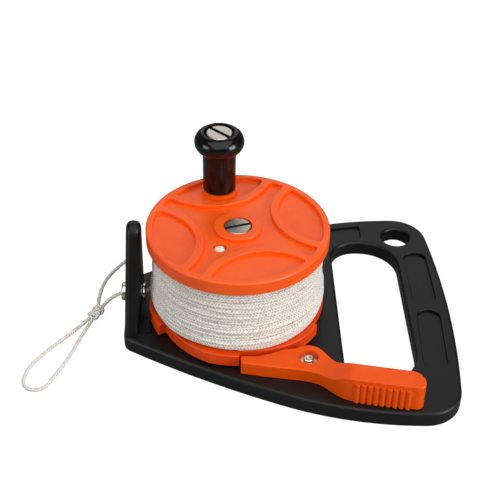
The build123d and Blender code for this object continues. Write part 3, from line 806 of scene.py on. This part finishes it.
@dataclass
class FreeLine:
    """The line past the eyelet: a short lead, a knot, a pull loop and a cut tail.

    Each route repeats the construction model's points, in millimetres. The lean and the turn of the
    knot are in degrees.
    """

    braid: bpy.types.Material
    ring_step: float = 0.21 * MM
    sides: int = 24
    relief: float = 0.2 * MM
    upright: tuple[float, float, float] = (0.15, 0.1, 1.0)
    route_steps: int = 24
    tail_rounding: float = 0.6 * MM
    reported_step: int = 4
    knot_place: tuple[float, float, float] = (-75.6, 1.6, 3.0)
    knot_lean: float = -24.0
    knot_turn: float = 17.0
    knot_scale: float = 1.12 * MM
    knot_rise: float = 1.15 * MM
    knot_pair: float = 0.78 * MM
    knot_points: int = 420
    knot_sides: int = 16
    knot_relief: float = 0.06 * MM
    lead_route: tuple = (
        (-45.85, 3.45, 18.7),
        (-47.5, 0.1, 18.4),
        (-60.3, 0.0, 18.75),
        (-65.8, 0.9, 14.6),
        (-69.9, 2.1, 9.8),
        (-72.0, 3.5, 5.8),
    )
    loop_route: tuple = (
        (-78.7, -1.0, 1.6),
        (-86.0, -11.2, 0.95),
        (-96.4, -23.6, 0.95),
        (-104.2, -34.6, 0.95),
        (-107.3, -43.5, 0.95),
        (-107.4, -50.6, 0.95),
        (-103.8, -54.5, 0.95),
        (-98.5, -54.7, 0.95),
        (-94.6, -51.1, 0.95),
        (-92.3, -44.6, 0.95),
        (-88.0, -35.5, 0.95),
        (-84.4, -24.5, 0.95),
        (-81.3, -12.9, 0.95),
        (-77.35, -2.7, 1.6),
    )
    tail_route: tuple = (
        (-75.15, 5.6, 1.6),
        (-75.55, 13.9, 0.95),
        (-75.0, 22.6, 0.95),
        (-73.3, 30.9, 0.95),
        (-69.8, 38.7, 0.95),
        (-65.2, 46.0, 0.95),
        (-60.2, 52.6, 0.95),
        (-56.4, 58.9, 0.95),
    )

    def centreline(self, name: str, route: tuple) -> np.ndarray:
        """Read even points off the smooth spline that a route controls.

        Args:
            name: The route's name.
            route: Control points in millimetres.

        Returns:
            Points one ring step apart, in metres.
        """
        curve = bpy.data.curves.new(name, "CURVE")
        curve.dimensions = "3D"
        curve.resolution_u = self.route_steps
        spline = curve.splines.new("NURBS")
        spline.points.add(len(route) - 1)
        weighted = [(x * MM, y * MM, z * MM, 1) for x, y, z in route]
        spline.points.foreach_set("co", np.ravel(weighted))
        spline.order_u = 3
        spline.use_endpoint_u = True
        holder = bpy.data.objects.new(name, curve)
        bpy.context.scene.collection.objects.link(holder)
        bpy.context.view_layer.update()
        ready = holder.evaluated_get(bpy.context.evaluated_depsgraph_get())
        sampled = bpy.data.meshes.new_from_object(ready)
        coarse = np.array([vertex.co[:] for vertex in sampled.vertices])
        bpy.data.objects.remove(holder)
        bpy.data.meshes.remove(sampled)
        distance = travelled(coarse)
        even = np.linspace(0, distance[-1], int(distance[-1] / self.ring_step))
        return np.stack([np.interp(even, distance, coarse[:, axis]) for axis in range(3)], -1)

    def stretch(
        self, name: str, route: tuple, rounded: float
    ) -> tuple[bpy.types.Object, np.ndarray]:
        """Make one free stretch of the braid.

        Args:
            name: The piece's name.
            route: Control points in millimetres.
            rounded: Length over which its ends round off.

        Returns:
            The piece and its centreline.
        """
        path = self.centreline(name + "_route", route)
        outward = np.broadcast_to(np.array(self.upright), path.shape)
        piece = line_tube(name, path, outward, self.sides, self.relief, rounded)
        piece.data.materials.append(self.braid)
        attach(piece, "frame")
        return piece, path

    def make_knot(self) -> bpy.types.Object:
        """Tie the doubled overhand knot.

        A strand follows x = sin t + 2 sin 2t, y = cos t - 2 cos 2t, z = -sin 3t, and its pair runs
        beside it, half a pair's width to each side of that curve.

        Returns:
            The knot.
        """
        turns = np.linspace(0, math.tau, self.knot_points, endpoint=False)
        middle = np.stack(
            [
                (np.sin(turns) + 2 * np.sin(2 * turns)) * self.knot_scale,
                (np.cos(turns) - 2 * np.cos(2 * turns)) * self.knot_scale,
                -np.sin(3 * turns) * self.knot_rise,
            ],
            -1,
        )
        upward = np.broadcast_to(np.array([0.0, 0.0, 1.0]), middle.shape)
        beside = np.cross(directions(middle, looped=True), upward)
        beside /= np.linalg.norm(beside, axis=1, keepdims=True)
        lean = Matrix.Rotation(math.radians(self.knot_lean), 3, "Y")
        set_down = np.array(lean @ Matrix.Rotation(math.radians(self.knot_turn), 3, "Z")).T
        place = np.array(self.knot_place) * MM
        strands = [
            line_tube(
                f"line_knot_strand_{number}",
                (middle + side * self.knot_pair * beside) @ set_down + place,
                upward @ set_down,
                self.knot_sides,
                self.knot_relief,
                looped=True,
            )
            for number, side in enumerate((-1, 1))
        ]
        knot = strands[0]
        with bpy.context.temp_override(
            active_object=knot, object=knot, selected_editable_objects=strands
        ):
            bpy.ops.object.join()
        knot.name = "line_knot_doubled"
        knot.data.materials.append(self.braid)
        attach(knot, "frame")
        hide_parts("line_knot")
        return knot

    def build(self) -> None:
        """Lay the lead, the knot, the loop and the tail."""
        knot = self.make_knot()
        jobs = (
            ("line_lead_braid", self.lead_route, "line_lead", "knot", 0.0, [knot]),
            ("line_loop_braid", self.loop_route, "line_loop", "knot", 0.0, []),
            ("line_tail_braid", self.tail_route, "line_tail", "bare", self.tail_rounding, []),
        )
        for name, route, node, far_end, rounded, companions in jobs:
            piece, path = self.stretch(name, route, rounded)
            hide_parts(node)


@dataclass(frozen=True)
class Crossing:
    """A few turns of line that cross over the wound layer.

    It starts at a share of the wound height and at a bearing in radians. It climbs by a share of
    that height, and the sign of its turns is its hand.
    """

    start_share: float
    climb_share: float
    turns: float
    bearing: float


@dataclass
class WoundLine:
    """The line on the drum: an uneven outer layer, the one under it and turns that cross over.

    The layer is fullest low down, slims towards the flange and is tucked in at the ratchet. Every
    other turn has sunk between its neighbours, so dark gaps show about every second turn.
    """

    braid: bpy.types.Material
    lower: float = 16.5 * MM
    upper: float = 54.8 * MM
    end_gap: float = 0.05 * MM
    full_radius: float = 44.4 * MM
    sag: float = 2.6 * MM
    tuck: float = 1.5 * MM
    turns: int = 23
    settling_turns: float = 2.5
    recess: float = 0.13 * MM
    common_sway: float = 0.34 * MM
    own_sway: float = 0.13 * MM
    lumps: float = 0.15 * MM
    fine_lumps: float = 0.13 * MM
    turn_points: int = 300
    sides: int = 10
    under_depth: float = 1.5 * MM
    under_turn_points: int = 120
    under_sides: int = 6
    crossings: tuple[Crossing, ...] = (
        Crossing(0.12, 0.1, 1.3, 2.6),
        Crossing(0.36, -0.12, 1.2, 3.4),
        Crossing(0.55, 0.13, -1.3, 5.9),
        Crossing(0.8, -0.12, 1.25, 0.6),
    )
    crossing_wave_share: float = 0.05
    crossing_dip_share: float = 0.08
    crossing_sink: float = 1.1 * MM
    crossing_lift: float = 1.6 * MM
    crossing_lumps: float = 0.12 * MM

    def reach_at(self, share: np.ndarray) -> np.ndarray:
        """Centre radius of the outer layer: R - s t^2 (3 - 2 t) - k (1 - t)^20 at height share t.

        Args:
            share: Share of the wound height, from 0 at the ratchet to 1 at the flange.

        Returns:
            The radius at each share.
        """
        slimming = self.sag * share**2 * (3 - 2 * share)
        return self.full_radius - slimming - self.tuck * (1 - share) ** 20

    def layer_path(self, depth: float, turn_points: int, phase: float, hand: int) -> np.ndarray:
        """Centreline of one layer of turns.

        Height climbs evenly, plus slow sines of the bearing that all turns share, plus small ones
        that differ from turn to turn. The radius swings in and out as the cosine of half the turned
        angle, with lumps as two faster sines.

        Args:
            depth: How far the layer lies under the outermost one.
            turn_points: Points in each turn.
            phase: Shifts the layer's unevenness.
            hand: 1 or -1, the way that the layer climbs.

        Returns:
            The path's points.
        """
        share = np.linspace(0, 1, self.turns * turn_points + 1)
        turn = share * self.turns
        bearing = hand * turn * math.tau - math.pi / 2
        edge = np.clip(np.minimum(share, 1 - share) * self.turns / self.settling_turns, 0, 1)
        slow = np.sin(2 * bearing + phase + 1.1 * share)
        quicker = 0.7 * np.sin(3 * bearing - 2 * phase + 2.3 * share)
        alone = np.sin(4 * bearing + 2.4 * turn) + np.sin(7 * bearing - 1.7 * turn + phase)
        span = self.upper - self.lower - LINE_DIAMETER - 2 * self.end_gap
        height = self.lower + LINE_RADIUS + self.end_gap + span * share
        height = height + edge * (self.common_sway * (slow + quicker) + self.own_sway * alone)
        swing = np.cos(math.pi * turn) * (0.8 + 0.2 * np.sin(bearing + phase))
        lumps = self.lumps * np.sin(5 * bearing + 1.9 * turn)
        lumps = lumps + self.fine_lumps * np.sin(9 * bearing - 2.6 * turn)
        reach = self.reach_at(share) - depth + self.recess * (swing - 1) + lumps
        return np.stack([reach * np.cos(bearing), reach * np.sin(bearing), height], -1)

    def crossing_path(self, crossing: Crossing) -> np.ndarray:
        """Centreline of a crossing, which climbs in waves and dips under the layer at both ends.

        Args:
            crossing: Where it starts and how it runs.

        Returns:
            The path's points.
        """
        along = np.linspace(0, 1, int(abs(crossing.turns) * self.turn_points))
        angle = crossing.bearing + along * crossing.turns * math.tau
        wave = self.crossing_wave_share * np.sin(3 * math.tau * along)
        share = crossing.start_share + crossing.climb_share * (along + wave)
        dip = np.clip(np.minimum(along, 1 - along) / self.crossing_dip_share, 0, 1)
        rise = self.crossing_lift * dip * (2 - dip) - self.crossing_sink
        reach = self.reach_at(share) + rise + self.crossing_lumps * np.sin(7 * angle)
        span = self.upper - self.lower - LINE_DIAMETER
        height = self.lower + LINE_RADIUS + span * share
        return np.stack([reach * np.cos(angle), reach * np.sin(angle), height], -1)

    def wind(self, name: str, path: np.ndarray, sides: int) -> bpy.types.Object:
        """Lay line along a path on the drum and make it turn with the spool.

        Args:
            name: The piece's name.
            path: The line's centreline.
            sides: Points round its section.

        Returns:
            The piece.
        """
        outward = path * np.array([1.0, 1.0, 0.0])
        piece = line_tube(name, path, outward, sides, 0.0)
        piece.data.materials.append(self.braid)
        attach(piece, "spool")
        log.info("%s has %d faces", name, len(piece.data.polygons))
        return piece

    def build(self) -> None:
        """Wind both layers and the crossing turns."""
        outer_path = self.layer_path(0.0, self.turn_points, phase=0.9, hand=1)
        outer = self.wind("wound_line_outer", outer_path, self.sides)
        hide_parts("line_turns")
        under_path = self.layer_path(self.under_depth, self.under_turn_points, phase=2.6, hand=-1)
        under = self.wind("wound_line_under", under_path, self.under_sides)
        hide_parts("line_core")
        for number, crossing in enumerate(self.crossings):
            self.wind(f"wound_line_crossing_{number}", self.crossing_path(crossing), self.sides)


@dataclass
class FramePlate:
    """The black moulded frame, its plated eyelet and the lever's pivot hardware."""

    plastic: bpy.types.Material
    nickel: bpy.types.Material
    steel: bpy.types.Material

    def build(self) -> None:
        """Dress the frame's own nodes."""
        dress_node("frame", self.plastic)
        for name in ("guide_eyelet", "guide_eyelet_ring", "lever_washer", "lever_screw"):
            dress_node(name, self.nickel)
        dress_node("lever_spring", self.steel)


@dataclass
class Axle:
    """The slotted shoulder screw, its washers and its nut."""

    steel: bpy.types.Material
    screw_steel: bpy.types.Material
    brass: bpy.types.Material
    nylon: bpy.types.Material

    def build(self) -> None:
        """Dress the axle's nodes."""
        dress_node("axle_screw", self.screw_steel)
        dress_node("axle_washer", self.steel)
        dress_node("axle_nut", self.brass)
        dress_node("thrust_washer", self.nylon)


@dataclass
class RatchetSpool:
    """The orange drum with its ratchet, the patterned flange and the line's melted end."""

    plastic: bpy.types.Material
    # The drum's orange, with painted shade from under the flange
    shaded_drum_plastic: bpy.types.Material
    melted: bpy.types.Material
    bead_gap: float = 0.5 * MM
    bead_rise: float = 1.3 * MM
    bead_sunk_share: float = 0.6
    bead_shift: float = 0.2 * MM
    bead_rings: int = 12
    bead_sides: int = 44

    def make_bead(self) -> None:
        """Make the melted end of the line.

        The bead is a low dome, r = R sin w, z = H cos w, with its radius and height roughened by
        cosines of the bearing.
        """
        low, high = (np.array(corner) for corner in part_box("line_anchor"))
        middle = (low + high) / 2
        radius = (high[0] - low[0]) / 2 - self.bead_gap
        tilt = np.linspace(math.pi / 2, 0, self.bead_rings)[:-1, None]
        bearing = (np.arange(self.bead_sides) / self.bead_sides * math.tau)[None, :]
        frayed = 0.06 * np.cos(5 * bearing + 2 * np.cos(bearing))
        frayed = frayed + 0.05 * np.cos(11 * bearing + 9 * tilt)
        rough = 0.14 * np.cos(3 * bearing + 5 * tilt) + 0.12 * np.cos(7 * bearing - 11 * tilt)
        reach = radius * np.sin(tilt) * (1 + frayed * np.sin(tilt))
        rise = self.bead_rise * np.cos(tilt) * (1 + rough * np.sin(tilt))
        base = high[2] - self.bead_sunk_share * self.bead_rise
        centre = np.array([middle[0] - self.bead_shift, middle[1], base])
        dome = centre + np.stack([reach * np.cos(bearing), reach * np.sin(bearing), rise], -1)
        skirt = dome[:1] * np.array([1.0, 1.0, 0.0]) + np.array([0.0, 0.0, low[2]])
        poles = np.array([centre, centre])
        poles[:, 2] = low[2], base + self.bead_rise
        bead = closed_skin("line_end_bead", np.concatenate([skirt, dome]), poles)
        bead.data.materials.append(self.melted)
        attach(bead, "spool")
        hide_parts("line_anchor")

    def build(self) -> None:
        """Dress the spool and make the bead."""
        dress_node("spool_drum", self.shaded_drum_plastic)
        dress_node("spool_flange", self.plastic)
        self.make_bead()


@dataclass
class WindingKnob:
    """The glossy black knob, its slotted screw and the insert that the screw goes into."""

    plastic: bpy.types.Material
    steel: bpy.types.Material
    brass: bpy.types.Material

    def build(self) -> None:
        """Dress the knob's nodes."""
        dress_node("knob", self.plastic)
        dress_node("knob_screw", self.steel)
        dress_node("knob_insert", self.brass)


@dataclass
class LockLever:
    """The orange lever that the thumb presses to free the ratchet."""

    plastic: bpy.types.Material

    def build(self) -> None:
        """Dress the lever."""
        dress_node("lock_lever", self.plastic)


def top_of(name: str) -> float:
    """The height of a construction node's top."""
    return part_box(name)[1][2]


def middle_of(name: str) -> tuple[float, float, float]:
    """The middle of a construction node's box."""
    low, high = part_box(name)
    return tuple((low[axis] + high[axis]) / 2 for axis in range(3))


def main() -> None:
    """Build the studio, the free line and each sub-assembly, in that order."""
    logging.basicConfig(level=logging.INFO, format="%(name)s: %(message)s")
    Studio().build()
    # Polyester braid: white, matt, with a fine basket of creases and painted shade in them
    braid = BraidedLine("braided_polyester").material()
    FreeLine(braid).build()
    # Glass-filled nylon from an eroded mould: dark, satin, with a fine even grain
    nylon = MouldedPlastic(
        "black_glass_filled_nylon",
        Hue.FRAME_BLACK,
        roughness=0.42,
        grain=0.3 * MM,
        grain_depth=0.03 * MM,
        second_colour=Hue.FRAME_RUBBED,
        ior=1.4,
    ).material()
    # High impact ABS from a polished mould: saturated, softly glossy, a little light inside it
    orange_abs = MouldedPlastic(
        "orange_abs",
        Hue.SIGNAL_ORANGE,
        roughness=0.36,
        grain=0.22 * MM,
        grain_depth=0.012 * MM,
        second_colour=Hue.ORANGE_DEPTH,
        ior=1.5,
        subsurface=0.3,
        subsurface_reach=1.6 * MM,
    )
    orange = orange_abs.material()
    # Phenolic: nearly black and hard, polished until it mirrors the room
    phenolic = MouldedPlastic(
        "black_phenolic",
        Hue.KNOB_BLACK,
        roughness=0.16,
        grain=0.9 * MM,
        grain_depth=0.01 * MM,
        ior=1.42,
    ).material()
    # Natural nylon: milky and waxy
    natural = MouldedPlastic(
        "natural_nylon",
        Hue.NYLON_NATURAL,
        roughness=0.4,
        grain=0.4 * MM,
        grain_depth=0.01 * MM,
    ).material()
    # Bright nickel over brass: warm mirror with a faint haze
    nickel = TurnedMetal(
        "bright_nickel_plate",
        Hue.NICKEL,
        roughness=0.16,
        mark_pitch=0.5 * MM,
        mark_depth=0.006 * MM,
    ).material()
    # Stainless steel faced on a lathe: fine rings that catch the light
    turned_steel = TurnedMetal(
        "turned_stainless_axle",
        Hue.STEEL,
        roughness=0.3,
        mark_pitch=0.45 * MM,
        mark_depth=0.02 * MM,
        second_colour=Hue.STEEL_SHADE,
    )
    axle_steel = turned_steel.material()
    # Stainless steel brushed one way: fine straight marks and a soft gleam, with painted shade in
    # its dull driver slot
    knob_steel = TurnedMetal(
        "brushed_stainless_knob",
        Hue.STEEL,
        roughness=0.38,
        mark_pitch=0.4 * MM,
        mark_depth=0.015 * MM,
        second_colour=Hue.NICKEL,
        turning=Turning.STRAIGHT_BANDS,
        centre=middle_of("knob_screw"),
        slot=DriverSlot(top_of("knob_screw")),
    ).material()
    # The turned steel again, brighter where tools and cloth have rubbed it, with painted shade in
    # its dull driver slot
    slotted_steel = replace(
        turned_steel,
        name="turned_stainless_slotted",
        colour=Hue.NICKEL,
        second_colour=Hue.STEEL_WORN,
        slot=DriverSlot(top_of("axle_screw")),
    ).material()
    # Plain turned brass: yellow, with a quiet shine
    brass = TurnedMetal(
        "turned_brass",
        Hue.BRASS,
        roughness=0.28,
        mark_pitch=0.4 * MM,
        mark_depth=0.01 * MM,
    ).material()
    # Melted line end: cloudy, smooth and a little amber
    melted = MeltedPolyester("melted_polyester").material()
    # The same ABS from a darker batch
    lever_orange = replace(
        orange_abs,
        name="orange_abs_lever",
        colour=Hue.LEVER_ORANGE,
        second_colour=Hue.LEVER_DEPTH,
        roughness=0.32,
        ior=1.32,
        subsurface=0.25,
    ).material()
    # The same ABS on the drum, painted deeper and a little redder than its flange as the shade and
    # orange bounce light under the flange
    shaded_drum_orange = replace(
        orange_abs,
        name="orange_abs_drum_painted_shade",
        colour=Hue.DRUM_SHADED_ORANGE,
        second_colour=Hue.DRUM_SHADED_DEPTH,
        roughness=0.34,
        ior=1.42,
        subsurface=0.25,
    ).material()
    FramePlate(nylon, nickel, axle_steel).build()
    Axle(axle_steel, slotted_steel, brass, natural).build()
    RatchetSpool(orange, shaded_drum_orange, melted).build()
    WoundLine(braid).build()
    WindingKnob(phenolic, knob_steel, brass).build()
    LockLever(lever_orange).build()


if __name__ == "__main__":
    main()
